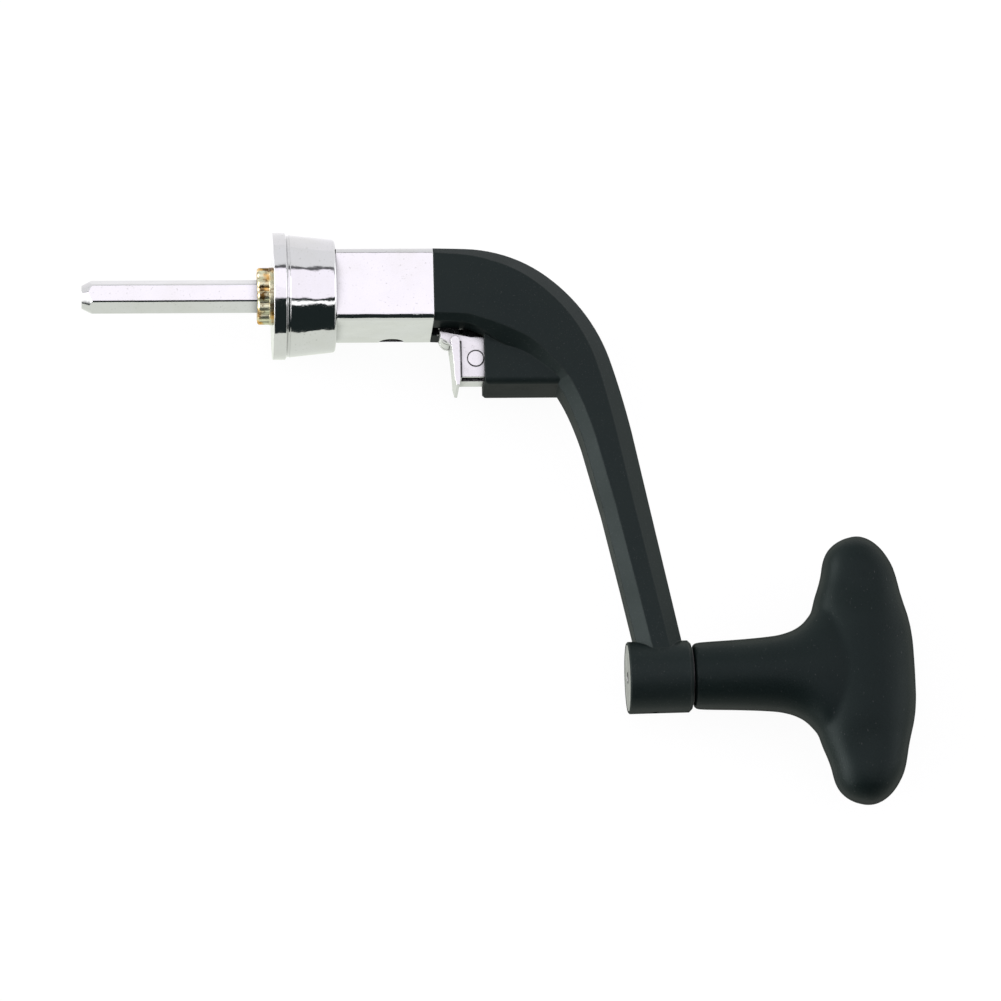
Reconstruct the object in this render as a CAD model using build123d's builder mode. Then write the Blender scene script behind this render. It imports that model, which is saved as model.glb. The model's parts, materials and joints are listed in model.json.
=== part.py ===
from build123d import *
import os
from math import cos, pi, radians, sin

# Folding crank handle of a small spinning reel, in millimetres.
#
# Frame: the origin lies on the drive shaft's axis, in the plane of the collar's seat face.
# +X runs along the shaft towards the arm, the arm hangs towards -Y, and +Z is the normal of the
# plane in which the arm bends and folds.

os.makedirs("parts", exist_ok=True)

# ---------------------------------------------------------------- driving dimensions

hex_flats = 5.0                 # drive shaft across flats
hex_edge_round = 0.5
shaft_tip_x = -31.4             # free end of the shaft
shaft_root_x = 20.6             # inner end, in the hinge block's socket
tip_cone_length = 2.0
tip_cone_radius = 1.9
tip_thread_radius = 1.25        # tapping size of an M3 thread
tip_thread_depth = 8.0

bush_radius = 4.75
bush_lobes = 12                 # round lobes of the rim
bush_lobe_radius = 1.0
bush_lobe_circle = 3.68         # radius of the circle through the lobes' centres
bush_rim_root = 4.2
bush_front_x = -2.5
bush_step_x = -0.55
bush_seat_depth = 0.3           # shallow seat of the bush's flange in the collar
bush_seat_clearance = 0.1
bush_spigot_radius = 4.0
bush_spigot_depth = 2.0

flange_radius = 10.5
flange_thickness = 2.35
barrel_radius_front = 10.1
barrel_radius_back = 9.3
barrel_end_x = 10.3
collar_web = 2.9                # thickness of the collar's front wall
rim_round = 0.15
rim_slope = 0.3
cove_radius = 10.02             # shallow cove between the rim and the barrel
cove_width = 0.3
barrel_start_x = 2.8
barrel_round = 0.5

block_height = 12.3             # along Y
block_depth = 15.0              # along Z
block_round = 1.2
joint_x = 26.25                 # face of the block against the arm
neck_radius = 6.0

pivot_x = 29.0                  # fold pin axis
pivot_y = -7.3
pivot_radius = 0.9
knuckle_radius = 1.6
tongue_half = 1.25              # half thickness of the block's tongue
tongue_right_x = 30.6
tongue_top_y = 2.0
ear_inner = 1.5                 # hinge clevis ears, from and to, along Z
ear_outer = 2.25

arm_gap = 0.05                  # between the block's face and the arm
bend_start_x = 32.1
bends = [(22.0, 36.0), (28.5, 36.0), (130.0, 6.6)]  # radius and angle along the arm's outer edge

hub_x = 62.15                   # centre of the knob hub
hub_y = -65.2
hub_cant = 1.2                  # the knob axis leans towards +Y by this angle
hub_radius = 5.9
hub_length = 10.4

housing_left_x = 34.6           # lever housing under the arm
housing_right_x = 47.0
housing_bottom_y = -16.3
housing_blend_x = 50.5          # where the housing's end runs into the arm
housing_blend_y = -11.0
housing_back_z = -5.0
housing_front_z = 4.2
housing_front_round = 1.3       # along the lower front edge
housing_back_round = 0.3

lever_travel = 2.0
lever_half = 3.0                # half thickness of the lever's body
pad_half = 3.9                  # half width of the finger pad
running = 0.05                  # radial running clearance
sliding = 0.15                  # clearance round sliding parts

clevis_left_x = 27.2            # hinge clevis, seated in the arm's slot
clevis_right_x = 34.4
clevis_top_y = 4.15
clevis_bottom_y = -6.3
clevis_bridge = 1.5
fold_washer_thickness = 0.2

lever_tail_x = 40.6             # inner end of the lever's body
lever_top_y = -8.05
lever_nose_x = 27.5             # the nose over the hinge
lever_nose_y = -7.0
lever_pocket_half = 2.35        # opening of the lever round the hinge's ears
lever_pocket_bottom_y = -9.1
lever_hollow_front = 2.5        # hollow underside, from and to along Z
lever_hollow_back = 0.2
lever_hollow_depth = 3.0
pad_left_x = 29.1
pad_right_x = 30.55
pad_top_y = -8.05
pad_bottom_y = -16.45
groove_width = 0.35
groove_depth = 0.5
rivet_x = 33.2
rivet_y = -11.7
rivet_radius = 1.3
catch_half = 1.15
catch_left_x = 31.3
catch_width = 2.3
catch_foot_width = 3.6
catch_foot_y = -9.6
catch_bottom_y = -13.4
catch_tip_x = 30.78
catch_tip_y = -3.5
spring_radius = 2.0
spring_wire_radius = 0.28
spring_turns = 4.5

knob_start = 5.5                # distances along the knob axis from the hub's centre
journal_radius = 2.0
journal_end = 30.6
clip_at = 28.9
clip_width = 0.6
clip_groove_radius = 1.6
chamber_radius = 3.1
centre_hole_radius = 1.1
centre_hole_depth = 2.4
core_radius = 4.2
core_bore_radius = 2.9
core_end = 33.0
core_bar_centre = 33.0
core_bar_width = 6.4
core_bar_length = 30.0
core_bar_half = 2.2


def across_x(x):
    """Plane across the shaft at x, with local x along +Y and local y along +Z."""
    return Plane.YZ.offset(x)


def level(z):
    """Plane parallel to the plane of the arm, at height z."""
    return Plane.XY.offset(z)


# The knob axis starts at the hub's centre and runs through the knob.
knob_dir = Vector(cos(radians(hub_cant)), sin(radians(hub_cant)), 0)
knob_side = Vector(-sin(radians(hub_cant)), cos(radians(hub_cant)), 0)
hub_centre = Vector(hub_x, hub_y, 0)


def across_knob(distance):
    """Plane across the knob axis, at a distance from the hub's centre."""
    return Plane(origin=hub_centre + knob_dir * distance, x_dir=knob_side, z_dir=knob_dir)


# Profiles turned about the knob axis are drawn here: local x along the axis, local y is radius.
knob_profile = Plane(origin=hub_centre, x_dir=knob_dir, z_dir=(0, 0, 1))
knob_axis = Axis(hub_centre, knob_dir)


# ---------------------------------------------------------------- drive side

with BuildPart() as drive_shaft:
    with BuildSketch(across_x(shaft_tip_x)) as hexagon:
        RegularPolygon(hex_flats / 2, 6, major_radius=False)
        fillet(hexagon.vertices(), hex_edge_round)
    extrude(amount=shaft_root_x - shaft_tip_x)
    with BuildSketch(Plane.XY):
        with BuildLine():
            Polyline(
                (shaft_tip_x, 0), (shaft_tip_x, tip_cone_radius),
                (shaft_tip_x + tip_cone_length, hex_flats / 2 / cos(pi / 6) + 0.02),
                (shaft_root_x, hex_flats / 2 / cos(pi / 6) + 0.02), (shaft_root_x, 0), close=True,
            )
        make_face()
    revolve(axis=Axis.X, mode=Mode.INTERSECT)
    with BuildSketch(across_x(shaft_tip_x)):
        Circle(tip_thread_radius)
    extrude(amount=tip_thread_depth, mode=Mode.SUBTRACT)
drive_shaft.part.label = "drive_shaft"

bush_bore_radius = hex_flats / 2 / cos(pi / 6) + running
with BuildPart() as seat_bush:
    with BuildSketch(across_x(bush_front_x)):
        Circle(bush_rim_root)
        with PolarLocations(bush_lobe_circle, bush_lobes, start_angle=180 / bush_lobes):
            Circle(bush_lobe_radius)
    extrude(amount=bush_step_x - bush_front_x)
    chamfer(seat_bush.faces().sort_by(Axis.X)[0].edges(), 0.25)
    with BuildSketch(across_x(bush_step_x)):
        Circle(bush_radius)
    extrude(amount=bush_seat_depth - bush_step_x)
    with BuildSketch(across_x(bush_seat_depth)):
        Circle(bush_spigot_radius)
    extrude(amount=bush_spigot_depth)
    with BuildSketch(across_x(bush_front_x)):
        Circle(bush_bore_radius)
    extrude(amount=bush_seat_depth + bush_spigot_depth - bush_front_x, mode=Mode.SUBTRACT)
seat_bush.part.label = "seat_bush"

with BuildPart() as collar:
    with BuildSketch(Plane.XY) as collar_profile:
        with BuildLine():
            Polyline(
                (bush_seat_depth, bush_spigot_radius), (bush_seat_depth, bush_radius + bush_seat_clearance),
                (0, bush_radius + bush_seat_clearance), (0, flange_radius),
                (flange_thickness - rim_slope, flange_radius), (flange_thickness, cove_radius),
                (flange_thickness + cove_width, cove_radius), (barrel_start_x, barrel_radius_front),
                (barrel_end_x, barrel_radius_back),
                (barrel_end_x, neck_radius), (collar_web, neck_radius), (collar_web, bush_spigot_radius),
                close=True,
            )
        make_face()
        fillet(collar_profile.vertices().group_by(Axis.Y)[-1], rim_round)
        barrel_corners = collar_profile.vertices().sort_by_distance((barrel_end_x, barrel_radius_back))
        fillet(barrel_corners[0], barrel_round)
    revolve(axis=Axis.X)
collar.part.label = "collar"

socket_radius = hex_flats / 2 + 0.02
recess_x = 19.85
recess_z = -6.5
recess_radius = 2.1
recess_depth = 1.9
recess_lip = 0.4                # wall left between the recess and the block's back face
lock_screw_x = 15.5
lock_screw_radius = 1.5
with BuildPart() as hinge_block:
    with BuildSketch(across_x(barrel_end_x)):
        RectangleRounded(block_height, block_depth, block_round)
    extrude(amount=joint_x - barrel_end_x)
    with BuildSketch(across_x(collar_web)):
        Circle(neck_radius)
    extrude(amount=barrel_end_x - collar_web)
    # Tongue that reaches into the arm, with the round knuckle at the fold pin.
    with BuildSketch(level(-tongue_half)):
        with BuildLine():
            Polyline(
                (joint_x - 1, 4.6 - block_height / 2), (pivot_x - knuckle_radius, 3.6 - block_height / 2),
                (pivot_x - knuckle_radius, pivot_y), (tongue_right_x, pivot_y), (tongue_right_x, -4.6),
                (tongue_right_x - 0.9, -4.1), (tongue_right_x - 0.9, -2.9), (tongue_right_x, -2.4),
                (tongue_right_x, tongue_top_y), (joint_x - 1, tongue_top_y), close=True,
            )
        make_face()
        with Locations((pivot_x, pivot_y)):
            Circle(knuckle_radius)
    extrude(amount=2 * tongue_half)
    with BuildSketch(level(-tongue_half)):
        with Locations((pivot_x, pivot_y)):
            Circle(pivot_radius + running)
    extrude(amount=2 * tongue_half, mode=Mode.SUBTRACT)
    # Hexagonal socket for the shaft.
    with BuildSketch(across_x(collar_web)):
        RegularPolygon(socket_radius, 6, major_radius=False)
    extrude(amount=shaft_root_x + 0.2 - collar_web, mode=Mode.SUBTRACT)
    # Half-moon recess along the lower back edge.
    with BuildSketch(Plane.XZ.offset(block_height / 2)):
        with Locations((recess_x, recess_z)):
            Circle(recess_radius)
        with Locations((recess_x, recess_lip - block_depth / 2)):
            Rectangle(
                3 * recess_radius, 3 * recess_radius, align=(Align.CENTER, Align.MAX), mode=Mode.SUBTRACT
            )
    extrude(amount=-recess_depth, mode=Mode.SUBTRACT)
    # Tapped hole for the shaft's lock screw, from the back face.
    with BuildSketch(level(-block_depth / 2)):
        with Locations((lock_screw_x, 0)):
            Circle(lock_screw_radius)
    extrude(amount=(block_depth - hex_flats) / 2, mode=Mode.SUBTRACT)
hinge_block.part.label = "hinge_block"

with BuildPart() as shaft_lock_screw:
    with BuildSketch(level(-block_depth / 2 + 0.3)):
        with Locations((lock_screw_x, 0)):
            Circle(lock_screw_radius)
    extrude(amount=(block_depth - hex_flats) / 2 - 0.3)
    with BuildSketch(level(-block_depth / 2 + 0.3)):
        with Locations((lock_screw_x, 0)):
            RegularPolygon(0.75, 6, major_radius=False)
    extrude(amount=1.6, mode=Mode.SUBTRACT)
shaft_lock_screw.part.label = "shaft_lock_screw"

# ---------------------------------------------------------------- arm

lead_in = bend_start_x - joint_x - arm_gap


def outer_edge(distance):
    """Point and heading (clockwise from +X) of the arm's outer edge, at a distance along it."""
    x = joint_x + arm_gap + min(distance, lead_in)
    y = block_height / 2
    turn = 0.0
    left = distance - lead_in
    for radius, angle in bends:
        if left > 0:
            step = min(left / radius, radians(angle))
            x += radius * (sin(turn + step) - sin(turn))
            y += radius * (cos(turn + step) - cos(turn))
            turn += step
            left -= radius * step
    left = max(left, 0.0)
    return x + left * cos(turn), y - left * sin(turn), turn


# The arm's sections: distance along the outer edge, width in the arm's plane, depth along Z, and the
# bevels along its outer and inner edges.
arm_sections = [
    (0.0, 12.3, 15.0, 1.0, 1.1),
    (5.0, 12.6, 15.0, 1.4, 1.2),
    (10.0, 13.3, 14.7, 2.0, 1.4),
    (19.0, 13.8, 13.8, 2.5, 2.2),
    (27.0, 12.6, 12.6, 2.6, 2.5),
    (34.0, 11.0, 11.4, 2.6, 2.1),
    (40.0, 9.3, 10.4, 2.6, 1.95),
    (48.0, 8.35, 9.7, 2.75, 1.9),
    (62.0, 7.65, 9.2, 2.7, 1.95),
    (88.0, 7.35, 9.0, 2.35, 2.2),
]
bend_step = 1.3                 # spacing of the sections through the bend
bend_end = 50.0


def arm_section(distance):
    """Width, depth and bevels at a distance, on smooth curves through the listed sections."""
    k = max(i for i in range(len(arm_sections) - 1) if arm_sections[i][0] <= distance)
    span = arm_sections[k + 1][0] - arm_sections[k][0]
    t = (distance - arm_sections[k][0]) / span
    values = []
    for column in range(1, 5):

        def slope(i):
            before = arm_sections[max(i - 1, 0)]
            after = arm_sections[min(i + 1, len(arm_sections) - 1)]
            return (after[column] - before[column]) / (after[0] - before[0])

        start = arm_sections[k][column]
        end = arm_sections[k + 1][column]
        curve = (1 + 2 * t) * (1 - t) ** 2 * start + t * t * (3 - 2 * t) * end
        curve += span * (t * (1 - t) ** 2 * slope(k) - t * t * (1 - t) * slope(k + 1))
        values.append(curve)
    return values


def arm_outline(width, depth, outer_bevel, inner_bevel):
    """Corner points of a section: local x towards the outer edge, local y along Z."""
    a = width / 2
    b = depth / 2
    return [
        (a, -b + outer_bevel), (a, b - outer_bevel), (a - outer_bevel, b), (-a + inner_bevel, b),
        (-a, b - inner_bevel), (-a, -b + inner_bevel), (-a + inner_bevel, -b), (a - outer_bevel, -b),
    ]


def arm_plane(distance, width):
    """Plane across the arm, centred on a section of the given width."""
    x, y, turn = outer_edge(distance)
    inward = Vector(-sin(turn), -cos(turn), 0)
    return Plane(
        origin=Vector(x, y, 0) + inward * (width / 2),
        x_dir=inward * -1,
        z_dir=Vector(cos(turn), -sin(turn), 0),
    )


bend_count = round(bend_end / bend_step)
arm_stations = [bend_end * i / bend_count for i in range(bend_count + 1)] + [62.0, 75.0, 88.0]

slot_half = ear_outer + 0.05
slot_top_y = 4.2
slot_right_x = 35.9
cavity_half = lever_half + sliding
cavity_top_y = -7.9
cavity_bottom_y = -15.0
cavity_end_x = 45.4
spindle_radius = 2.5
head_radius = 5.6
head_depth = 0.9
lock_radius = 0.5
lock_shift = -0.75              # along the knob axis, from the hub's centre
stop_pin_x = 38.6
stop_pin_y = -11.6
stop_pin_radius = 0.75
stop_pin_end_z = 3.7


def below_hub(drop):
    """Plane facing up at the hub's lock screw, at a distance below the knob axis."""
    place = hub_centre + knob_dir * lock_shift - knob_side * drop
    return Plane(origin=place, x_dir=knob_dir, z_dir=knob_side)


# Housing of the release lever, under the arm.
with BuildPart() as lever_housing:
    with BuildSketch(level(housing_back_z)):
        with BuildLine():
            Polyline(
                (housing_left_x, -4), (housing_left_x, housing_bottom_y + 0.5),
                (housing_left_x + 0.5, housing_bottom_y), (housing_right_x, housing_bottom_y),
                (housing_blend_x, housing_blend_y), (housing_blend_x, -4), close=True,
            )
        make_face()
    extrude(amount=housing_front_z - housing_back_z)
    long_edges = lever_housing.edges().filter_by(Axis.X).group_by(Axis.Y)[0].sort_by(Axis.Z)
    fillet(long_edges[-1], housing_front_round)
    long_edges = lever_housing.edges().filter_by(Axis.X).group_by(Axis.Y)[0].sort_by(Axis.Z)
    fillet(long_edges[0], housing_back_round)

with BuildPart() as crank_arm:
    for distance in arm_stations:
        section = arm_section(min(distance, arm_sections[-1][0] - 0.01))
        with BuildSketch(arm_plane(distance, section[0])):
            Polygon(*arm_outline(*section), align=None)
    loft(ruled=True)
    add(lever_housing.part)
    # Barrel that carries the knob spindle.
    with BuildSketch(knob_profile):
        with BuildLine():
            Polyline(
                (-hub_length / 2, 0), (-hub_length / 2, hub_radius - 0.2),
                (-hub_length / 2 + 0.2, hub_radius), (hub_length / 2 - 0.5, hub_radius),
                (hub_length / 2, hub_radius - 0.5), (hub_length / 2, 0), close=True,
            )
        make_face()
    revolve(axis=knob_axis)
    # Slot for the tongue, the clevis and the catch, open at the joint and below.
    with BuildSketch(level(-slot_half)):
        with BuildLine():
            Polyline(
                (joint_x, -9), (joint_x, slot_top_y), (slot_right_x, slot_top_y),
                (slot_right_x, -9), close=True,
            )
        make_face()
    extrude(amount=2 * slot_half, mode=Mode.SUBTRACT)
    # Cavity of the lever housing, open towards the block.
    with BuildSketch(level(-cavity_half)):
        with BuildLine():
            Polyline(
                (housing_left_x - 1, cavity_bottom_y), (cavity_end_x, cavity_bottom_y),
                (cavity_end_x, cavity_top_y), (housing_left_x - 1, cavity_top_y), close=True,
            )
        make_face()
    extrude(amount=2 * cavity_half, mode=Mode.SUBTRACT)
    # Blind hole for the lever's stop pin, from the back.
    with BuildSketch(level(housing_back_z)):
        with Locations((stop_pin_x, stop_pin_y)):
            Circle(stop_pin_radius)
    extrude(amount=stop_pin_end_z - housing_back_z, mode=Mode.SUBTRACT)
    # Bore and counterbore for the knob spindle.
    with BuildSketch(across_knob(-hub_length / 2)):
        Circle(spindle_radius)
    extrude(amount=hub_length, mode=Mode.SUBTRACT)
    with BuildSketch(across_knob(-hub_length / 2)):
        Circle(head_radius)
    extrude(amount=head_depth, mode=Mode.SUBTRACT)
    # Tapped hole for the hub's lock screw, from below.
    with BuildSketch(below_hub(hub_radius + 0.5)):
        Circle(lock_radius)
    extrude(amount=hub_radius + 0.5 - spindle_radius, mode=Mode.SUBTRACT)
crank_arm.part.label = "crank_arm"

with BuildPart() as hinge_clevis:
    # Two side plates with round ears, joined by a bridge along the top of the slot.
    for side in (-1, 1):
        with BuildSketch(level(side * (ear_inner + ear_outer) / 2)):
            with BuildLine():
                Polyline(
                    (clevis_left_x, clevis_bottom_y), (clevis_left_x, clevis_top_y),
                    (clevis_right_x, clevis_top_y), (clevis_right_x, clevis_bottom_y),
                    (pivot_x + knuckle_radius, clevis_bottom_y), (pivot_x + knuckle_radius, pivot_y),
                    (pivot_x - knuckle_radius, pivot_y), (pivot_x - knuckle_radius, clevis_bottom_y),
                    close=True,
                )
            make_face()
            with Locations((pivot_x, pivot_y)):
                Circle(knuckle_radius)
                Circle(pivot_radius, mode=Mode.SUBTRACT)
        extrude(amount=(ear_outer - ear_inner) / 2, both=True)
    with BuildSketch(level(-ear_outer)):
        with Locations(((clevis_left_x + clevis_right_x) / 2, clevis_top_y - clevis_bridge / 2)):
            Rectangle(clevis_right_x - clevis_left_x, clevis_bridge)
    extrude(amount=2 * ear_outer)
hinge_clevis.part.label = "hinge_clevis"

with BuildPart() as fold_pin:
    with BuildSketch(level(-ear_outer)):
        with Locations((pivot_x, pivot_y)):
            Circle(pivot_radius)
    extrude(amount=2 * ear_outer)
    chamfer(fold_pin.faces().filter_by(Axis.Z).edges(), 0.12)
fold_pin.part.label = "fold_pin"


def fold_washer(side):
    """Thin washer between the tongue and one ear of the clevis."""
    with BuildPart() as washer:
        with BuildSketch(level(side * (tongue_half + ear_inner) / 2)):
            with Locations((pivot_x, pivot_y)):
                Circle(knuckle_radius - 0.1)
                Circle(pivot_radius + running, mode=Mode.SUBTRACT)
        extrude(amount=fold_washer_thickness / 2, both=True)
    return washer.part


fold_washer_front = fold_washer(1)
fold_washer_front.label = "fold_washer_front"
fold_washer_back = fold_washer(-1)
fold_washer_back.label = "fold_washer_back"

with BuildPart() as lever_stop_pin:
    with BuildSketch(level(housing_back_z + 0.15)):
        with Locations((stop_pin_x, stop_pin_y)):
            Circle(stop_pin_radius)
    extrude(amount=stop_pin_end_z - housing_back_z - 0.15)
lever_stop_pin.part.label = "lever_stop_pin"

spring_length = cavity_end_x - lever_tail_x - 2 * spring_wire_radius
with BuildPart() as lever_spring:
    with BuildLine() as coil:
        Helix(
            pitch=spring_length / spring_turns, height=spring_length, radius=spring_radius,
            center=(lever_tail_x + spring_wire_radius, stop_pin_y, 0), direction=(1, 0, 0),
        )
    with BuildSketch(Plane(origin=coil.line @ 0, z_dir=coil.line % 0)):
        Circle(spring_wire_radius)
    sweep()
lever_spring.part.label = "lever_spring"

with BuildPart() as knob_spindle:
    with BuildSketch(knob_profile):
        with BuildLine():
            Polyline(
                (-hub_length / 2 + 0.05, 0), (-hub_length / 2 + 0.05, head_radius - 0.2),
                (-hub_length / 2 + head_depth, head_radius - 0.05),
                (-hub_length / 2 + head_depth, spindle_radius), (hub_length / 2, spindle_radius),
                (hub_length / 2, journal_radius), (clip_at, journal_radius), (clip_at, clip_groove_radius),
                (clip_at + clip_width, clip_groove_radius), (clip_at + clip_width, journal_radius),
                (journal_end - 0.4, journal_radius), (journal_end, journal_radius - 0.4), (journal_end, 0),
                close=True,
            )
        make_face()
    revolve(axis=knob_axis)
    with BuildSketch(across_knob(-hub_length / 2)):
        Circle(centre_hole_radius)
    extrude(amount=centre_hole_depth, mode=Mode.SUBTRACT)
knob_spindle.part.label = "knob_spindle"

with BuildPart() as hub_lock_screw:
    with BuildSketch(below_hub(hub_radius - 0.4)):
        Circle(lock_radius)
    extrude(amount=hub_radius - 0.4 - spindle_radius)
    with BuildSketch(below_hub(hub_radius - 0.4)):
        RegularPolygon(0.28, 6, major_radius=False)
    extrude(amount=0.8, mode=Mode.SUBTRACT)
hub_lock_screw.part.label = "hub_lock_screw"


def knob_ring(start, end, inner, outer):
    """Plain ring round the knob axis, between two distances from the hub's centre."""
    with BuildPart() as ring:
        with BuildSketch(across_knob(start)):
            Circle(outer)
            Circle(inner, mode=Mode.SUBTRACT)
        extrude(amount=end - start)
    return ring.part


spindle_washer = knob_ring(hub_length / 2 + 0.03, knob_start - 0.04, journal_radius + running, 4.6)
spindle_washer.label = "spindle_washer"
spindle_end_washer = knob_ring(clip_at - 0.55, clip_at - 0.02, journal_radius + 0.02, chamber_radius - 0.25)
spindle_end_washer.label = "spindle_end_washer"

with BuildPart() as spindle_clip:
    with BuildSketch(across_knob(clip_at + 0.02)):
        Circle(chamber_radius - 0.3)
        Circle(clip_groove_radius, mode=Mode.SUBTRACT)
        with Locations((chamber_radius, 0)):
            Rectangle(2 * chamber_radius, 1.7, mode=Mode.SUBTRACT)
    extrude(amount=clip_width - 0.04)
spindle_clip.part.label = "spindle_clip"

# ---------------------------------------------------------------- release lever

with BuildPart() as release_lever:
    with BuildSketch(level(-lever_half)):
        with BuildLine():
            Polyline(
                (lever_nose_x, lever_nose_y), (housing_left_x - lever_travel - sliding, lever_top_y),
                (lever_tail_x, lever_top_y), (lever_tail_x, cavity_bottom_y + sliding),
                (pad_right_x - 0.3, cavity_bottom_y + sliding), (pad_right_x - 0.3, pad_top_y - 2.0),
                (pad_left_x, pad_top_y - 1.4), (lever_nose_x + 1.0, lever_nose_y - 1.7),
                (lever_nose_x, lever_nose_y - 1.2), close=True,
            )
        make_face()
    extrude(amount=2 * lever_half)
    # Finger pad: an upright plate, wider than the body, with a round top and a thin lower edge.
    with BuildSketch(level(-pad_half)):
        with BuildLine():
            l1 = Line((pad_right_x, pad_top_y - 0.6), (pad_right_x, pad_bottom_y + 1.2))
            l2 = Line(l1 @ 1, (pad_right_x - 0.15, pad_bottom_y))
            l3 = Line(l2 @ 1, (pad_left_x + 0.85, pad_bottom_y))
            l4 = Line(l3 @ 1, (pad_left_x + 0.55, pad_bottom_y + 1.2))
            l5 = ThreePointArc(
                l4 @ 1, (pad_left_x + 0.38, (pad_top_y + pad_bottom_y) / 2), (pad_left_x, pad_top_y - 0.6)
            )
            ThreePointArc(l5 @ 1, ((pad_left_x + pad_right_x) / 2, pad_top_y), l1 @ 0)
        make_face()
    extrude(amount=2 * pad_half)
    # The nose is only on the front side.
    with BuildSketch(level(-lever_half)):
        with Locations((lever_nose_x - 1, lever_pocket_bottom_y - 1)):
            Rectangle(pad_left_x - lever_nose_x + 1, 5, align=(Align.MIN, Align.MIN))
    extrude(amount=lever_half + lever_pocket_half, mode=Mode.SUBTRACT)
    # Groove between the pad and the body.
    with BuildSketch(level(lever_half)):
        with Locations((pad_right_x, cavity_bottom_y)):
            Rectangle(groove_width, lever_top_y - cavity_bottom_y - 0.7, align=(Align.MIN, Align.MIN))
    extrude(amount=-groove_depth, mode=Mode.SUBTRACT)
    # Opening round the ears of the hinge.
    with BuildSketch(level(-lever_pocket_half)):
        with Locations((lever_nose_x - 1, lever_pocket_bottom_y)):
            Rectangle(catch_left_x - lever_nose_x + 1, 4, align=(Align.MIN, Align.MIN))
    extrude(amount=2 * lever_pocket_half, mode=Mode.SUBTRACT)
    # Hollow underside of the body.
    with BuildSketch(level(lever_hollow_back)):
        with Locations((pad_right_x + 0.3, cavity_bottom_y)):
            Rectangle(
                housing_left_x + 0.9 - pad_right_x, lever_hollow_depth, align=(Align.MIN, Align.MIN)
            )
    extrude(amount=lever_hollow_front - lever_hollow_back, mode=Mode.SUBTRACT)
    # Slot round the stop pin, as long as the lever's travel.
    with BuildSketch(level(-lever_half)):
        with Locations((stop_pin_x - lever_travel / 2, stop_pin_y)):
            SlotCenterToCenter(lever_travel + 2 * running, 2 * (stop_pin_radius + running))
    extrude(amount=2 * lever_half, mode=Mode.SUBTRACT)
    # Pocket of the catch plate, and the rivet's hole through both.
    with BuildSketch(level(-catch_half)):
        with Locations((catch_left_x, catch_bottom_y)):
            Rectangle(catch_foot_width, lever_top_y - catch_bottom_y + 1, align=(Align.MIN, Align.MIN))
    extrude(amount=2 * catch_half, mode=Mode.SUBTRACT)
    with BuildSketch(level(-lever_half)):
        with Locations((rivet_x, rivet_y)):
            Circle(rivet_radius)
    extrude(amount=2 * lever_half, mode=Mode.SUBTRACT)
    with BuildSketch(level(lever_half)):
        with Locations((rivet_x, rivet_y)):
            Circle(rivet_radius + 0.14)
    extrude(amount=-0.2, mode=Mode.SUBTRACT)
release_lever.part.label = "release_lever"

with BuildPart() as lever_catch:
    with BuildSketch(level(-catch_half)):
        with BuildLine():
            Polyline(
                (catch_left_x, catch_bottom_y), (catch_left_x, catch_tip_y - 1.6),
                (catch_tip_x, catch_tip_y - 0.5), (catch_tip_x, catch_tip_y + 0.5),
                (catch_left_x + 0.9, catch_tip_y + 1.4), (catch_left_x + catch_width, catch_tip_y + 1.4),
                (catch_left_x + catch_width, catch_foot_y), (catch_left_x + catch_foot_width, catch_foot_y),
                (catch_left_x + catch_foot_width, catch_bottom_y), close=True,
            )
        make_face()
        with Locations((rivet_x, rivet_y)):
            Circle(rivet_radius, mode=Mode.SUBTRACT)
    extrude(amount=2 * catch_half)
lever_catch.part.label = "lever_catch"

with BuildPart() as lever_rivet:
    with BuildSketch(level(-lever_half)):
        with Locations((rivet_x, rivet_y)):
            Circle(rivet_radius)
    extrude(amount=2 * lever_half + 0.06)
    chamfer(lever_rivet.faces().sort_by(Axis.Z)[-1].edges(), 0.05)
lever_rivet.part.label = "lever_rivet"

# ---------------------------------------------------------------- knob

knob_bush_inner = knob_ring(knob_start + 0.1, 12.0, journal_radius + running, core_bore_radius)
knob_bush_inner.label = "knob_bush_inner"
knob_bush_outer = knob_ring(clip_at - 6.6, clip_at - 0.6, journal_radius + running, core_bore_radius)
knob_bush_outer.label = "knob_bush_outer"


def knob_level(height):
    """Plane along the knob axis at a height, with local x along the axis and local y to its side."""
    return Plane(origin=hub_centre + Vector(0, 0, height), x_dir=knob_dir, z_dir=(0, 0, 1))


# Outer shape of the knob's core: a tube with a flat cross bar at its far end.
with BuildPart() as core_envelope:
    with BuildSketch(across_knob(knob_start)):
        Circle(core_radius)
    extrude(amount=core_end - knob_start)
    with BuildSketch(knob_level(-core_bar_half)):
        with Locations((core_bar_centre, 0)):
            RectangleRounded(core_bar_width, core_bar_length, 2.0)
    extrude(amount=2 * core_bar_half)

with BuildPart() as knob_core:
    add(core_envelope.part)
    with BuildSketch(across_knob(knob_start)):
        Circle(core_bore_radius)
    extrude(amount=clip_at - 0.6 - knob_start, mode=Mode.SUBTRACT)
    with BuildSketch(across_knob(clip_at - 0.6)):
        Circle(chamber_radius)
    extrude(amount=core_end - clip_at + 0.6, mode=Mode.SUBTRACT)
knob_core.part.label = "knob_core"

with BuildPart() as knob_end_plug:
    with BuildSketch(across_knob(journal_end + 0.4)):
        Circle(chamber_radius)
    extrude(amount=core_end - journal_end - 0.4)
knob_end_plug.part.label = "knob_end_plug"

# Stem of the grip: distance from the hub's centre, half width in the T's plane, half depth.
stem_sections = [(knob_start, 5.45, 5.45), (13.0, 5.85, 5.8), (19.0, 6.25, 6.05), (23.2, 7.6, 6.15),
                 (26.5, 11.0, 6.15)]
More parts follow.
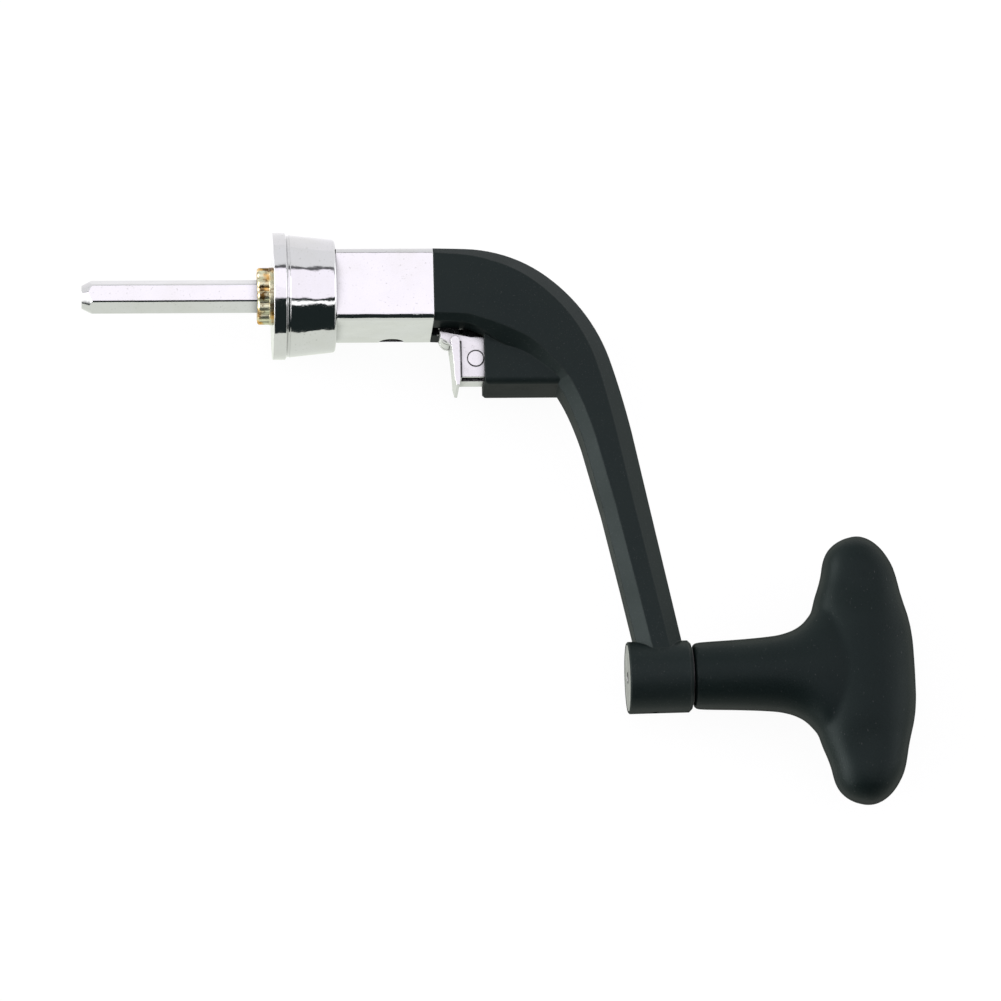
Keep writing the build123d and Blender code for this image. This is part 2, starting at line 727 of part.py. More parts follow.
# Bar of the T: height over the axis, middle of the section, half width along the axis, half depth.
half_bar = [(9.0, 33.35, 8.0, 6.2), (15.0, 33.35, 6.5, 5.5), (19.5, 33.35, 4.9, 4.4), (22.2, 33.4, 1.5, 1.4)]
bar_middle = (0.0, 33.6, 8.3, 6.4)
bar_sections = [(-height, *rest) for height, *rest in reversed(half_bar)] + [bar_middle] + half_bar

with BuildPart() as knob_grip:
    for distance, half_width, half_depth in stem_sections:
        with BuildSketch(across_knob(distance)):
            Ellipse(half_width, half_depth)
    loft()
    flare_end, flare_width, flare_depth = stem_sections[-1]
    with BuildSketch(across_knob(flare_end)):
        Ellipse(flare_width, flare_depth)
    extrude(amount=bar_middle[1] - flare_end)
    for height, middle, half_width, half_depth in bar_sections:
        place = hub_centre + knob_side * height + knob_dir * middle
        with BuildSketch(Plane(origin=place, x_dir=knob_dir, z_dir=knob_side)):
            Ellipse(half_width, half_depth)
    loft()
    add(core_envelope.part, mode=Mode.SUBTRACT)
knob_grip.part.label = "knob_grip"

# ---------------------------------------------------------------- files

pieces = [
    drive_shaft.part, seat_bush.part, collar.part, hinge_block.part, shaft_lock_screw.part,
    crank_arm.part, hinge_clevis.part, fold_pin.part, fold_washer_front, fold_washer_back,
    lever_stop_pin.part, lever_spring.part, knob_spindle.part, hub_lock_screw.part,
    spindle_washer, spindle_end_washer, spindle_clip.part,
    release_lever.part, lever_catch.part, lever_rivet.part,
    knob_core.part, knob_end_plug.part, knob_grip.part, knob_bush_inner, knob_bush_outer,
]
for piece in pieces:
    export_step(piece, f"parts/{piece.label}.step")
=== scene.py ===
"""Looks of the folding crank handle: materials, the soft knob grip, floor, light and camera."""

import json
import math

import bmesh
import bpy
from mathutils import Matrix, Vector


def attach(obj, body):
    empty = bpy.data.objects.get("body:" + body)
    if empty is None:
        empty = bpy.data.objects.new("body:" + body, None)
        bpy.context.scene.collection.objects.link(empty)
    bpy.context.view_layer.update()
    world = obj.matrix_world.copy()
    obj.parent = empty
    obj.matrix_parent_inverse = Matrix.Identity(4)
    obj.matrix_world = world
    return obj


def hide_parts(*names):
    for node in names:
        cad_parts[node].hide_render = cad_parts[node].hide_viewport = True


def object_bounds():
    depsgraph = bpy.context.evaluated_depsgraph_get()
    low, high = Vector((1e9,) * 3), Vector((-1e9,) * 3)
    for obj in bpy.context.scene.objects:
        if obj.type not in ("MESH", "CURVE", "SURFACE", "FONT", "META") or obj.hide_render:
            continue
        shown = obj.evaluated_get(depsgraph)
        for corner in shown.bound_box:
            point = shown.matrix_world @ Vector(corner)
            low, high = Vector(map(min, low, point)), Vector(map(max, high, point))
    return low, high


MM = 0.001
SHADING_SAMPLES = 6             # of the bevel and occlusion nodes

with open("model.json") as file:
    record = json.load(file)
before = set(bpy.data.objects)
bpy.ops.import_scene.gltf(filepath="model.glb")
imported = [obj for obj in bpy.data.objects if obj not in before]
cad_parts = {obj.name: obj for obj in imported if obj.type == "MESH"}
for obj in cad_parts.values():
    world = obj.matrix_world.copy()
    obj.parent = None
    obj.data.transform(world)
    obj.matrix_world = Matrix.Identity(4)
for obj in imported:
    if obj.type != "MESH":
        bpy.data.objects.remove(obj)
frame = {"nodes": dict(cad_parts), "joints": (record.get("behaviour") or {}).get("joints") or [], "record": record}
cad_low, cad_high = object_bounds()


# ------------------------------------------------------------------ node helpers


class Tree:
    """A node tree, with short calls for adding and linking nodes."""

    def __init__(self, tree):
        self.tree = tree

    def add(self, kind, inputs=None, **settings):
        node = self.tree.nodes.new(kind)
        for key, value in settings.items():
            setattr(node, key, value)
        for key, value in (inputs or {}).items():
            self.put(node.inputs[key], value)
        return node

    def put(self, socket, value):
        if isinstance(value, bpy.types.NodeSocket):
            self.tree.links.new(value, socket)
        else:
            socket.default_value = value

    def axes(self, kind):
        """X, Y and Z of one kind of texture coordinates."""
        coords = self.add("ShaderNodeTexCoord")
        return self.add("ShaderNodeSeparateXYZ", {"Vector": coords.outputs[kind]}).outputs

    def noise(self, vector, scale=1.0, detail=3.0, roughness=0.5, distortion=0.0):
        node = self.add(
            "ShaderNodeTexNoise",
            {"Vector": vector, "Scale": scale, "Detail": detail, "Roughness": roughness,
             "Distortion": distortion},
        )
        return node.outputs["Fac"]

    def ramp(self, value, low, high, out_low=0.0, out_high=1.0):
        """Maps value from low..high to out_low..out_high, held at both ends."""
        node = self.add(
            "ShaderNodeMapRange",
            {"Value": value, "From Min": low, "From Max": high, "To Min": out_low, "To Max": out_high},
        )
        node.clamp = True
        return node.outputs["Result"]

    def math(self, operation, a, b=0.0):
        return self.add("ShaderNodeMath", {0: a, 1: b}, operation=operation).outputs[0]

    def mix(self, factor, a, b):
        """Mixes two colours."""
        node = self.add("ShaderNodeMix", data_type="RGBA")
        self.put(node.inputs["Factor"], factor)
        self.put(node.inputs[6], a)
        self.put(node.inputs[7], b)
        return node.outputs[2]


class Graph(Tree):
    """A new material, its texture coordinates and its Principled shader."""

    def __init__(self, name):
        self.material = bpy.data.materials.new(name)
        self.material.use_nodes = True
        super().__init__(self.material.node_tree)
        self.shader = self.tree.nodes["Principled BSDF"]

    def place(self, scale, stretch=(1.0, 1.0, 1.0)):
        """Object coordinates, scaled so that one unit is 1 / scale metres."""
        coords = self.add("ShaderNodeTexCoord")
        mapping = self.add("ShaderNodeMapping", {"Vector": coords.outputs["Object"]})
        mapping.inputs["Scale"].default_value = [scale * s for s in stretch]
        return mapping.outputs["Vector"]

    def edges(self, radius, low=0.9, high=0.995):
        """1 on a convex or concave edge and 0 on open surface, from a bevelled normal."""
        bevel = self.add("ShaderNodeBevel", {"Radius": radius}, samples=SHADING_SAMPLES)
        geometry = self.add("ShaderNodeNewGeometry")
        dot = self.add(
            "ShaderNodeVectorMath",
            {0: bevel.outputs["Normal"], 1: geometry.outputs["Normal"]},
            operation="DOT_PRODUCT",
        )
        return self.ramp(dot.outputs["Value"], low, high, 1.0, 0.0)

    def crevices(self, reach, low=0.35, high=0.85):
        """1 deep in gaps and recesses and 0 in the open."""
        shade = self.add("ShaderNodeAmbientOcclusion", {"Distance": reach}, samples=SHADING_SAMPLES)
        return self.ramp(shade.outputs["AO"], low, high, 1.0, 0.0)

    def matt_at_a_slant(self, level):
        """Specular level for a matt coat, which loses its reflection towards the outline."""
        weight = self.add("ShaderNodeLayerWeight", {"Blend": 0.5})
        return self.ramp(weight.outputs["Facing"], 0.50, 0.74, level, level * 0.1)

    def bump(self, height, distance, strength=1.0, edge_radius=None):
        """Bump whose height is in metres, over edges rounded to edge_radius."""
        node = self.add("ShaderNodeBump", {"Height": height, "Distance": distance, "Strength": strength})
        if edge_radius:
            bevel = self.add("ShaderNodeBevel", {"Radius": edge_radius}, samples=SHADING_SAMPLES)
            self.put(node.inputs["Normal"], bevel.outputs["Normal"])
        self.put(self.shader.inputs["Normal"], node.outputs["Normal"])

    def set(self, **inputs):
        for key, value in inputs.items():
            self.put(self.shader.inputs[key.replace("_", " ")], value)


def grey(value, tint=(1.0, 1.0, 1.0)):
    return (value * tint[0], value * tint[1], value * tint[2], 1.0)


# ------------------------------------------------------------------ materials


COAT_TINT = (0.86, 1.0, 0.98, 1)        # of the black paint's and the soft coat's reflections
# Colour of the painted shade that darkens the chrome in its gaps and recesses.
CREVICE_SHADE = (0.030, 0.034, 0.030, 1)
HINGE_SHADED_ABOVE = -0.0078              # Y in metres; above it, inside the slot, the hinge steel is painted near black as shade, and below it the steel is bright


def chrome(name, polish_along=(1.0, 1.0, 1.0), frost=0.0, value=0.63):
    """Bright plate over a die casting: gentle waviness, polishing lines, frosted patches, and painted shade in its
    gaps and recesses.
    """
    g = Graph(name)
    wave = g.noise(g.place(210), detail=1)
    swell = g.noise(g.place(620), detail=2)
    lines = g.noise(g.place(900, stretch=polish_along), detail=4, roughness=0.7)
    smudge = g.noise(g.place(160), detail=5, roughness=0.6)
    patch = g.noise(g.place(330), detail=6, roughness=0.7, distortion=0.6)
    pits = g.noise(g.place(2600), detail=2)
    frosted = g.ramp(patch, 0.60, 0.66)
    cool = grey(value, (1.0, 1.0, 1.02))
    warm = grey(value * 0.95, (1.0, 1.0, 0.99))
    dark = grey(value * 0.55, (0.98, 1.0, 0.95))
    tone = g.mix(g.ramp(smudge, 0.35, 0.7), cool, warm)
    tone = g.mix(g.math("MULTIPLY", g.ramp(pits, 0.66, 0.74), 0.5), tone, dark)
    tone = g.mix(g.math("MULTIPLY", g.edges(0.00012), 0.5), tone, grey(value * 1.15))
    # Painted shade: the chrome is darkened towards this colour deep in gaps and recesses, found by ambient
    # occlusion.
    crevice_shade = g.math("MULTIPLY", g.crevices(0.0022), g.ramp(smudge, 0.3, 0.6, 0.75, 1.0))
    tone = g.mix(g.math("MULTIPLY", crevice_shade, 0.9), tone, CREVICE_SHADE)
    g.set(Base_Color=tone, Metallic=1.0)
    rough = g.math("ADD", g.ramp(smudge, 0.4, 0.75, 0.045, 0.10), g.ramp(lines, 0.4, 0.7, 0.0, 0.04))
    rough = g.math("ADD", rough, g.math("MULTIPLY", frosted, 0.10))
    g.set(Roughness=g.math("ADD", rough, frost))
    height = g.math("ADD", g.math("MULTIPLY", wave, 190.0), g.math("MULTIPLY", swell, 22.0))
    height = g.math("ADD", height, g.math("MULTIPLY", lines, 0.25))
    height = g.math("ADD", height, g.math("MULTIPLY", g.math("MULTIPLY", pits, frosted), 0.6))
    g.bump(height, 0.000001, edge_radius=0.00015)
    return g.material


def arm_paint():
    """Black satin paint on a casting: fine orange peel, faint mottling, edges rubbed a little lighter."""
    g = Graph("arm_paint")
    peel = g.noise(g.place(2600), detail=2, roughness=0.5)
    mottle = g.noise(g.place(140), detail=5, roughness=0.6)
    specks = g.noise(g.place(5200), detail=1)
    tone = g.mix(g.ramp(mottle, 0.3, 0.7), (0.0050, 0.0085, 0.0085, 1), (0.0070, 0.0108, 0.0102, 1))
    tone = g.mix(g.math("MULTIPLY", g.edges(0.0003), 0.35), tone, (0.040, 0.046, 0.042, 1))
    tone = g.mix(g.ramp(specks, 0.68, 0.74, 0.0, 0.5), tone, (0.05, 0.05, 0.05, 1))
    g.set(Base_Color=tone)
    g.set(Roughness=g.ramp(mottle, 0.3, 0.7, 0.40, 0.50))
    g.set(Specular_IOR_Level=g.matt_at_a_slant(0.14), Specular_Tint=COAT_TINT)
    g.bump(g.math("ADD", peel, g.math("MULTIPLY", mottle, 2.0)), 0.000008, edge_radius=0.0003)
    return g.material


def grip_rubber():
    """Soft-touch coating: matt, with a very fine pebble and slightly shinier handled patches."""
    g = Graph("grip_rubber")
    pebble = g.add("ShaderNodeTexVoronoi", {"Vector": g.place(4200), "Scale": 1.0})
    fine = g.noise(g.place(9000), detail=2)
    patches = g.noise(g.place(90), detail=4, roughness=0.6)
    tone = g.mix(g.ramp(patches, 0.3, 0.7), (0.0034, 0.0064, 0.0064, 1), (0.0050, 0.0085, 0.0080, 1))
    lint = g.noise(g.place(3800, stretch=(1.0, 0.35, 1.0)), detail=1)
    tone = g.mix(g.ramp(lint, 0.72, 0.78, 0.0, 0.4), tone, (0.06, 0.06, 0.06, 1))
    g.set(Base_Color=tone)
    g.set(Roughness=g.ramp(patches, 0.3, 0.7, 0.46, 0.38))
    g.set(Specular_IOR_Level=g.matt_at_a_slant(0.12), Specular_Tint=COAT_TINT)
    height = g.math("ADD", pebble.outputs["Distance"], g.math("MULTIPLY", fine, 0.5))
    g.bump(height, 0.00002, strength=0.6)
    return g.material


def brass():
    """Turned brass: fine rings round the shaft, pale wear, golden ground, dark tarnish and painted shade in its
    gaps.
    """
    g = Graph("brass")
    rings = g.noise(g.place(4000, stretch=(1.0, 0.04, 0.04)), detail=3)
    stain = g.noise(g.place(420), detail=5, roughness=0.65)
    bloom = g.noise(g.place(260), detail=3)
    tone = g.mix(g.ramp(bloom, 0.44, 0.56), (0.60, 0.60, 0.42, 1), (0.72, 0.40, 0.09, 1))
    tone = g.mix(g.ramp(stain, 0.50, 0.60), tone, (0.12, 0.065, 0.018, 1))
    # Painted shade: the brass is darkened to brown deep in gaps and recesses, found by ambient occlusion.
    tone = g.mix(g.math("MULTIPLY", g.crevices(0.0010, 0.2, 0.7), 0.7), tone, (0.16, 0.08, 0.02, 1))
    tone = g.mix(g.math("MULTIPLY", g.edges(0.00012), 0.5), tone, (0.90, 0.80, 0.52, 1))
    g.set(Base_Color=tone, Metallic=1.0)
    g.set(Roughness=g.ramp(stain, 0.3, 0.75, 0.28, 0.46))
    g.bump(g.math("ADD", rings, stain), 0.000012, edge_radius=0.00012)
    return g.material


def steel_shaded_in_slot():
    """Steel painted near black inside the slot as painted shade, and bright round the hinge's ears below it."""
    g = Graph("steel_shaded_in_slot")
    patch = g.noise(g.place(900), detail=5, roughness=0.65)
    # Painted shade: these near black tones stand for the shade inside the slot.
    tone = g.mix(g.ramp(patch, 0.35, 0.7), (0.010, 0.011, 0.012, 1), (0.020, 0.020, 0.019, 1))
    tone = g.mix(g.math("MULTIPLY", g.edges(0.0001), 0.5), tone, (0.12, 0.12, 0.12, 1))
    border = g.math("ADD", g.axes("Object")["Y"], g.math("MULTIPLY", patch, 0.0003))
    unshaded = g.ramp(border, HINGE_SHADED_ABOVE, HINGE_SHADED_ABOVE + 0.0003, 1.0, 0.0)
    # Below the slot the steel is bright, free of the painted shade.
    tone = g.mix(unshaded, tone, grey(0.62))
    g.set(Base_Color=tone, Metallic=g.ramp(patch, 0.3, 0.7, 0.75, 0.85))
    g.set(Roughness=g.ramp(patch, 0.3, 0.75, 0.2, 0.35))
    g.bump(patch, 0.00001, edge_radius=0.0001)
    return g.material


def steel(name, value=0.42):
    """Bare machined steel: turning marks, dull patches, bright edges."""
    g = Graph(name)
    marks = g.noise(g.place(3500, stretch=(1.0, 0.15, 0.15)), detail=3)
    patch = g.noise(g.place(500), detail=5, roughness=0.6)
    tone = g.mix(g.ramp(patch, 0.3, 0.7), grey(value), grey(value * 0.75, (1.0, 0.99, 0.97)))
    tone = g.mix(g.math("MULTIPLY", g.edges(0.0001), 0.6), tone, grey(0.7))
    g.set(Base_Color=tone, Metallic=1.0)
    g.set(Roughness=g.ramp(patch, 0.3, 0.75, 0.28, 0.42))
    g.bump(g.math("ADD", marks, patch), 0.00001, edge_radius=0.0001)
    return g.material


def moulded_plastic(name):
    """Black moulded plastic: fine spark texture and faint flow marks."""
    g = Graph(name)
    spark = g.noise(g.place(7000), detail=3, roughness=0.6)
    flow = g.noise(g.place(300, stretch=(1.0, 0.3, 1.0)), detail=3)
    tone = g.mix(g.ramp(flow, 0.3, 0.7), (0.010, 0.010, 0.010, 1), (0.018, 0.018, 0.018, 1))
    tone = g.mix(g.math("MULTIPLY", g.edges(0.0002), 0.3), tone, (0.05, 0.05, 0.05, 1))
    g.set(Base_Color=tone)
    g.set(Roughness=g.ramp(spark, 0.3, 0.7, 0.42, 0.58))
    g.bump(spark, 0.00001, edge_radius=0.0001)
    return g.material


slot_materials = {
    "chrome": chrome("chrome"),
    "steel": steel("steel"),
    "brass": brass(),
    "arm_paint": arm_paint(),
    "washer_plastic": moulded_plastic("washer_plastic"),
    "core_plastic": moulded_plastic("core_plastic"),
    "grip_rubber": grip_rubber(),
}
# Steel with painted shade inside the slot, for the hinge's parts.
slot_shaded_steel = steel_shaded_in_slot()
node_materials = {
    "hinge_clevis": slot_shaded_steel,
    "fold_pin": slot_shaded_steel,
    "lever_catch": slot_shaded_steel,
    "knob_spindle": steel("spindle_steel", value=0.19),
    "drive_shaft": chrome("shaft_chrome", polish_along=(0.05, 1.0, 1.0)),
    "release_lever": chrome("lever_chrome", frost=0.16, value=0.58),
    "lever_rivet": chrome("rivet_chrome", frost=0.12, value=0.60),
}

for entry in frame["record"]["subparts"]:
    node = frame["nodes"][entry["node"]]
    for place in node.material_slots:
        place.material = slot_materials[entry["material_slot"]]
for name, material in node_materials.items():
    for place in frame["nodes"][name].material_slots:
        place.material = material


# ------------------------------------------------------------------ knob grip

knob_joint = next(j for j in frame["joints"] if j["name"] == "knob_spin")
knob_origin = Vector(knob_joint["pos_m"])
knob_dir = Vector(knob_joint["axis"]).normalized()
knob_up = Vector((0, 0, 1))
knob_side = knob_up.cross(knob_dir)
# Turns knob coordinates (along the axis, to the side, up) into the frame's.
knob_turn = Matrix((knob_dir, knob_side, knob_up)).transposed().to_4x4()
knob_matrix = Matrix.Translation(knob_origin) @ knob_turn

# Knob sizes in millimetres. Lengths along the axis are measured from the joint's origin.
STEM_START = 5.5
STEM_END = 27.5
BAR_MIDDLE = 33.4               # along the axis, where the lobes end and the thumb hollows sit
BAR_HALF = 22.3                 # half the bar's length
UPPER_LIFT = 0.4                # extra length of the upper lobe
SKIN_VOXEL = 0.4
CORNER_END = 30.5               # along the axis, where the corner's strong smoothing has faded out
CORNER_SIDE = 14.0              # the same, to each side
LOBE_SMOOTHING = 0.3
HOLLOW_DEPTH = 0.55
HOLLOW_AT = 13.2                # of the thumb hollows, to each side of the axis
CORE_BORE_RADIUS = 4.22
CORE_BORE_LENGTH = 40
CORE_BORE_END = 32.5
STEM_STEPS = 60
BAR_STEPS = 90
SEGMENTS = 72
CIRCLE = [
    (math.cos(2 * math.pi * i / SEGMENTS), math.sin(2 * math.pi * i / SEGMENTS))
    for i in range(SEGMENTS)
]


def clamp(value):
    return min(max(value, 0.0), 1.0)


def smooth_curve(points):
    """A function through (x, y) points with no overshoot between them (monotone cubic)."""
    xs = [p[0] for p in points]
    ys = [p[1] for p in points]
    slopes = [(ys[i + 1] - ys[i]) / (xs[i + 1] - xs[i]) for i in range(len(xs) - 1)]
    tangents = [slopes[0]]
    for a, b in zip(slopes, slopes[1:]):
        tangents.append(0.0 if a * b <= 0 else 2 * a * b / (a + b))
    tangents.append(slopes[-1])

    def value(x):
        x = min(max(x, xs[0]), xs[-1])
        i = max(k for k in range(len(xs) - 1) if xs[k] <= x)
        h = xs[i + 1] - xs[i]
        t = (x - xs[i]) / h
        return (
            ys[i] * (1 + 2 * t) * (1 - t) ** 2 + tangents[i] * h * t * (1 - t) ** 2
            + ys[i + 1] * t * t * (3 - 2 * t) + tangents[i + 1] * h * t * t * (t - 1)
        )

    return value


# The stem's half width and half depth, against the distance along the axis.
stem_width = smooth_curve([
    (STEM_START, 5.15), (5.95, 5.45), (13.0, 5.8), (19.0, 6.25), (21.5, 6.85), (23.5, 7.9), (25.0, 9.5),
    (26.3, 11.3), (STEM_END, 12.6),
])
stem_depth = smooth_curve([
    (STEM_START, 5.15), (5.95, 5.45), (13.0, 5.75), (20.0, 6.0), (STEM_END, 6.1),
])
# The bar's near and far edges along the axis and its half depth, against the distance to the side.
bar_near = smooth_curve([
    (0.0, 25.6), (9.0, 25.35), (12.0, 26.0), (14.0, 26.75), (16.0, 27.35), (18.0, 27.75), (19.5, 28.35),
    (20.8, 29.45), (21.8, 31.2), (BAR_HALF, 33.3),
])
bar_far = smooth_curve([
    (0.0, 42.0), (4.0, 41.95), (6.5, 41.75), (8.8, 41.35), (11.0, 40.75), (13.0, 40.25), (15.0, 39.85),
    (17.0, 39.3), (18.8, 38.4), (20.2, 37.4), (21.3, 36.2), (22.0, 34.9), (BAR_HALF, 33.5),
])
bar_depth = smooth_curve([
    (0.0, 6.35), (7.0, 6.25), (12.0, 5.75), (16.5, 5.35), (19.5, 4.55), (21.2, 3.2), (22.0, 1.8),
    (BAR_HALF, 0.4),
])


def tube(name, rings):
    """Closed mesh through rings of points, each a list of the same length."""
    mesh = bpy.data.meshes.new(name)
    build = bmesh.new()
    loops = [[build.verts.new(p) for p in ring] for ring in rings]
    count = len(loops[0])
    for a, b in zip(loops, loops[1:]):
        for i in range(count):
            j = (i + 1) % count
            build.faces.new((a[i], a[j], b[j], b[i]))
    build.faces.new(list(reversed(loops[0])))
    build.faces.new(loops[-1])
    bmesh.ops.recalc_face_normals(build, faces=build.faces)
    build.to_mesh(mesh)
    build.free()
    piece = bpy.data.objects.new(name, mesh)
    bpy.context.collection.objects.link(piece)
    return piece


def apply_modifiers(piece):
    """Replaces a piece's mesh with its modified mesh and removes the modifiers."""
    depsgraph = bpy.context.evaluated_depsgraph_get()
    mesh = bpy.data.meshes.new_from_object(piece.evaluated_get(depsgraph))
    piece.modifiers.clear()
    piece.data = mesh


def stem_tube():
    """The round stem, flared towards the bar and ending inside it."""
    rings = []
    for k in range(STEM_STEPS + 1):
        u = STEM_START + (STEM_END - STEM_START) * k / STEM_STEPS
        rings.append([(u, stem_width(u) * c, stem_depth(u) * s) for c, s in CIRCLE])
    inside = [(BAR_MIDDLE, 0.9 * y, 0.9 * z) for _, y, z in rings[-1]]
    return tube("stem", rings + [inside])


def bar_tube():
    """The bar across the stem, with two finger waists and rounded lobes."""
    rings = []
    for k in range(BAR_STEPS + 1):
        v = BAR_HALF * math.sin(math.pi * (k / BAR_STEPS - 0.5))
        lift = UPPER_LIFT * clamp(v / BAR_HALF)
        a = bar_near(abs(v))
        b = bar_far(abs(v))
        d = bar_depth(abs(v))
        rings.append([((a + b) / 2 + (b - a) / 2 * c, v + lift, d * s) for c, s in CIRCLE])
    return tube("bar", rings)


def one_skin(name, pieces):
    """Joins closed pieces into one skin and removes the originals."""
    build = bmesh.new()
    for piece in pieces:
        build.from_mesh(piece.data)
    mesh = bpy.data.meshes.new(name)
    build.to_mesh(mesh)
    build.free()
    for piece in pieces:
        bpy.data.objects.remove(piece)
    skin = bpy.data.objects.new(name, mesh)
    bpy.context.collection.objects.link(skin)
    remesh = skin.modifiers.new("skin", "REMESH")
    remesh.mode = "VOXEL"
    remesh.voxel_size = SKIN_VOXEL
    apply_modifiers(skin)
    return skin


def smooth_corner(grip):
    """Smooths the corner between stem and bar well, and the lobes only a little."""
    weights = grip.vertex_groups.new(name="corner")
    for vertex in grip.data.vertices:
        u, v, _ = vertex.co
        corner = clamp((CORNER_END - u) / 2.0) * clamp((CORNER_SIDE - abs(v)) / 2.5)
        weights.add([vertex.index], LOBE_SMOOTHING + (1 - LOBE_SMOOTHING) * corner, "REPLACE")
    smooth = grip.modifiers.new("smooth", "SMOOTH")
    smooth.factor = 0.5
    smooth.iterations = 14
    smooth.vertex_group = "corner"
    apply_modifiers(grip)


def press_hollows(grip):
    """Presses a shallow thumb hollow into both faces of each lobe."""
    for vertex in grip.data.vertices:
        u, v, w = vertex.co
        along = (u - BAR_MIDDLE) / 3.2
        across = (abs(v) - HOLLOW_AT) / 3.4
        hollow = HOLLOW_DEPTH * math.exp(-(along ** 2) - across ** 2)
        if abs(w) > 2.0:
            vertex.co.z -= math.copysign(hollow, w)


def bore_for_core(grip):
    """Cuts the bore that the knob's core sits in."""
    bpy.ops.mesh.primitive_cylinder_add(
        vertices=96, radius=CORE_BORE_RADIUS, depth=CORE_BORE_LENGTH, rotation=(0, math.pi / 2, 0),
    )
    cutter = bpy.context.object
    cutter.location = (CORE_BORE_END - CORE_BORE_LENGTH / 2, 0, 0)
    bore = grip.modifiers.new("bore", "BOOLEAN")
    bore.operation = "DIFFERENCE"
    bore.object = cutter
    apply_modifiers(grip)
    bpy.data.objects.remove(cutter)


def knob_grip():
    """The soft T grip, which takes the place of the plain one."""
    grip = one_skin("knob_grip_soft", (stem_tube(), bar_tube()))
    smooth_corner(grip)
    press_hollows(grip)
    bore_for_core(grip)
    grip.data.transform(knob_matrix @ Matrix.Scale(MM, 4))
    for polygon in grip.data.polygons:
        polygon.use_smooth = True
    grip.data.materials.clear()
    grip.data.materials.append(slot_materials["grip_rubber"])
    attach(grip, "knob")
    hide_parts("knob_grip")


knob_grip()


# ------------------------------------------------------------------ floor, light and camera

FLOOR_RADIUS = 6.0
FLOOR_MIDDLE = (0.04, -0.035)
FLOOR_CLEARANCE = 0.00005
FLOOR_TO_EYE = 0.94             # brightness of the paper seen directly
FLOOR_SEEN_IN_CHROME = (0.88, 0.92, 0.84, 1)
FLOOR_BEHIND_CHROME = (1.06, 1.05, 1.07, 1)


def floor_material():
    """Pale paper that glows, so that shadows stay faint. Reflections see it in other colours."""
    g = Graph("floor_paper")
    fibre = g.noise(g.place(1500), detail=4)
    cloud = g.noise(g.place(6), detail=3)
    path = g.add("ShaderNodeLightPath")
    seen = path.outputs["Is Camera Ray"]
    g.set(Base_Color=g.mix(g.ramp(cloud, 0.3, 0.7), grey(0.07), grey(0.065)))
    g.set(Roughness=g.ramp(fibre, 0.3, 0.7, 0.85, 0.95))
    g.set(Specular_IOR_Level=0.0)
    side = g.ramp(g.axes("Object")["Y"], 0.036, 0.046)
    reflected = g.mix(side, FLOOR_SEEN_IN_CHROME, FLOOR_BEHIND_CHROME)
    g.set(Emission_Color=g.mix(seen, reflected, grey(FLOOR_TO_EYE)))
    g.set(Emission_Strength=1.0)
    g.bump(fibre, 0.00001, strength=0.2)
    return g.material


def floor():
    """A round sheet of pale paper, just under the lowest point of the collar."""
    mesh = bpy.data.meshes.new("floor")
    build = bmesh.new()
    bmesh.ops.create_circle(build, cap_ends=True, segments=64, radius=FLOOR_RADIUS)
    build.to_mesh(mesh)
    build.free()
    sheet = bpy.data.objects.new("floor", mesh)
    sheet.location = (*FLOOR_MIDDLE, cad_low[2] - FLOOR_CLEARANCE)
    bpy.context.collection.objects.link(sheet)
    mesh.materials.append(floor_material())


floor()

# Angles across the arm's plane, from straight up (0) towards +Y, in degrees, and the colour of the
# studio there: paper below, a black flag in front, a soft box overhead with a dark gap behind it, and
# pale walls.
LILAC = (1.46, 1.39, 1.51)
WALL = (1.08, 1.08, 1.10)
PAPER = (0.80, 0.83, 0.76)
FLAG = (0.018, 0.026, 0.026)
GAP = (0.16, 0.16, 0.17)
STUDIO = [
    (-180, PAPER), (-97, PAPER), (-93, FLAG), (-22, FLAG), (-20.5, LILAC), (36, LILAC), (37.5, GAP),
    (42.5, GAP), (44, WALL), (137, WALL), (150, PAPER), (180, PAPER),
]
STUDIO_PEAK = 1.6
LEFT_WALL = 8.5                 # extra brightness of the side walls
RIGHT_WALL = 1.7
STRIP_LIGHT = 2.2
LAMP_AIM = (0.037, -0.035, 0.0)


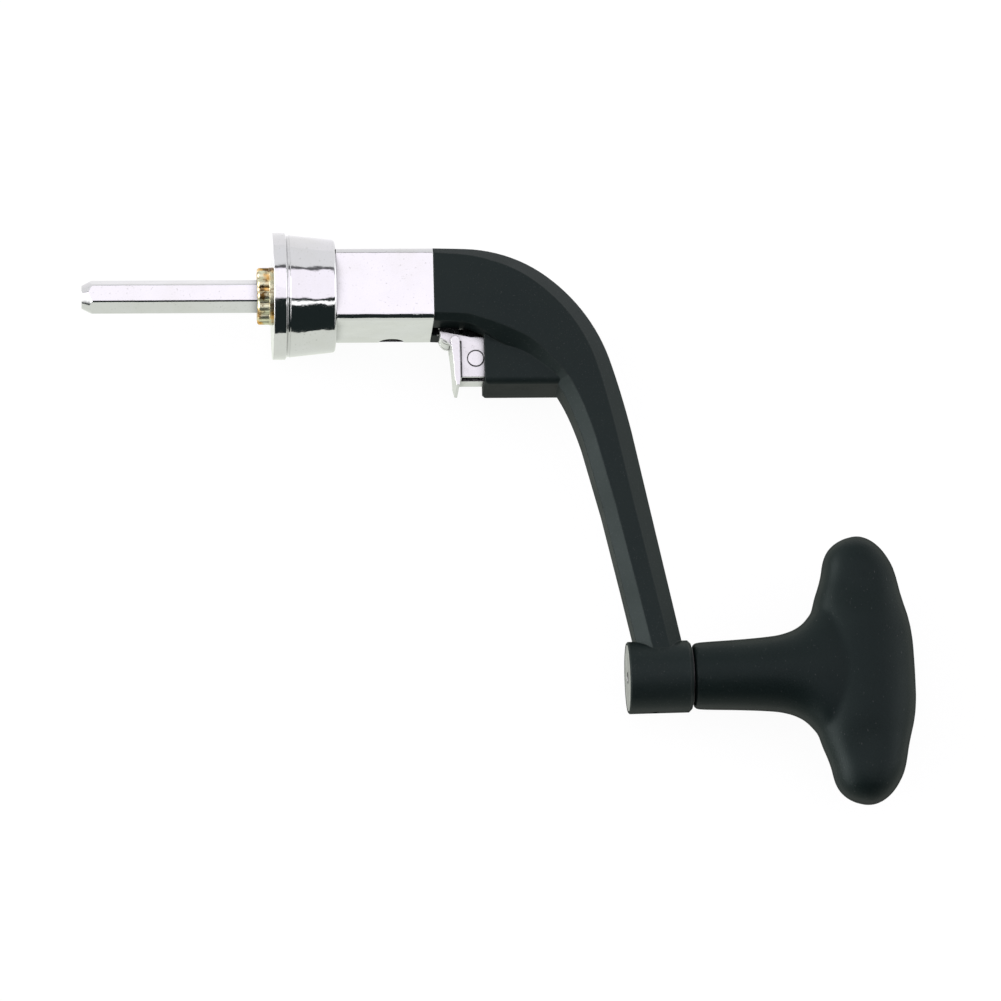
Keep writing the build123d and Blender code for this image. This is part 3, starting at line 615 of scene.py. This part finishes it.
def studio_world():
    """The studio as the object sees it in its reflections; seen directly it is plain and pale."""
    world = bpy.data.worlds.new("studio")
    bpy.context.scene.world = world
    world.use_nodes = True
    g = Tree(world.node_tree)
    nodes = world.node_tree.nodes
    x, y, z = g.axes("Generated")
    angle = g.math("ARCTAN2", y, z)

    room_colour = g.add("ShaderNodeValToRGB", {"Fac": g.ramp(angle, -math.pi, math.pi)})
    stops = room_colour.color_ramp.elements
    while len(stops) < len(STUDIO):
        stops.new(0.5)
    for stop, (degrees, colour) in zip(stops, STUDIO):
        stop.position = (degrees + 180) / 360
        stop.color = (*(c / STUDIO_PEAK for c in colour), 1)
    room = g.add("ShaderNodeBackground", {"Color": room_colour.outputs["Color"], "Strength": STUDIO_PEAK})

    # Brighter walls at the shaft's end and at the knob's end, and a thin strip light in the flag.
    left = g.ramp(x, -0.72, -0.95, 0.0, LEFT_WALL)
    right = g.ramp(x, 0.62, 0.95, 0.0, RIGHT_WALL)
    coords = g.add("ShaderNodeTexCoord")
    ragged = g.noise(coords.outputs["Generated"], scale=45.0, detail=4.0)
    strip_angle = g.math("ADD", angle, g.math("MULTIPLY", ragged, 0.16))
    strip = g.math(
        "MULTIPLY",
        g.ramp(strip_angle, math.radians(-29.3), math.radians(-28.8)),
        g.ramp(strip_angle, math.radians(-22.3), math.radians(-22.8)),
    )
    strip = g.math("MULTIPLY", strip, g.ramp(x, 0.10, 0.13, 0.0, STRIP_LIGHT))
    strength = g.math("ADD", g.math("ADD", left, right), strip)
    lamps = g.add("ShaderNodeBackground", {"Strength": strength})
    together = g.add("ShaderNodeAddShader", {0: room.outputs[0], 1: lamps.outputs[0]})

    plain = g.add("ShaderNodeBackground", {"Color": (1, 1, 1, 1)})
    path = g.add("ShaderNodeLightPath")
    seen = g.add(
        "ShaderNodeMixShader",
        {0: path.outputs["Is Camera Ray"], 1: together.outputs[0], 2: plain.outputs[0]},
    )
    g.put(nodes["World Output"].inputs["Surface"], seen.outputs[0])


studio_world()


def soft_light(name, direction, distance, size, power):
    """A round lamp aimed at the object's middle."""
    light = bpy.data.lights.new(name, "AREA")
    light.shape = "DISK"
    light.size = size
    light.energy = power
    lamp = bpy.data.objects.new(name, light)
    towards = Vector(direction).normalized()
    lamp.location = Vector(LAMP_AIM) + towards * distance
    lamp.rotation_mode = "QUATERNION"
    lamp.rotation_quaternion = towards.to_track_quat("Z", "Y")
    bpy.context.collection.objects.link(lamp)


soft_light("key", direction=(-0.2, 0.3, 1.0), distance=1.6, size=1.2, power=0.4)

# The camera looks down on the plane of the arm, from a little to the shaft's side and below the arm.
YAW = math.radians(3.8)
PITCH = math.radians(15.2)
ROLL = math.radians(1.38)
LENS = 273.3
SENSOR_WIDTH = 36.0
TARGET = Vector((0.036911, -0.03514, 0.0))
DISTANCE = 1.24616

camera_data = bpy.data.cameras.new("camera")
camera_data.lens = LENS
camera_data.sensor_width = SENSOR_WIDTH
camera = bpy.data.objects.new("camera", camera_data)
bpy.context.collection.objects.link(camera)
bpy.context.scene.camera = camera
back = Vector((-math.tan(YAW), -math.tan(PITCH), 1.0)).normalized()
up = Vector((0, 1, 0))
up = (up - back * up.dot(back)).normalized()
right = up.cross(back)
rolled_up = up * math.cos(ROLL) + right * math.sin(ROLL)
rolled_right = right * math.cos(ROLL) - up * math.sin(ROLL)
turn = Matrix((rolled_right, rolled_up, back)).transposed().to_4x4()
camera.matrix_world = Matrix.Translation(TARGET + back * DISTANCE) @ turn
bpy.context.scene.view_settings.view_transform = "Standard"
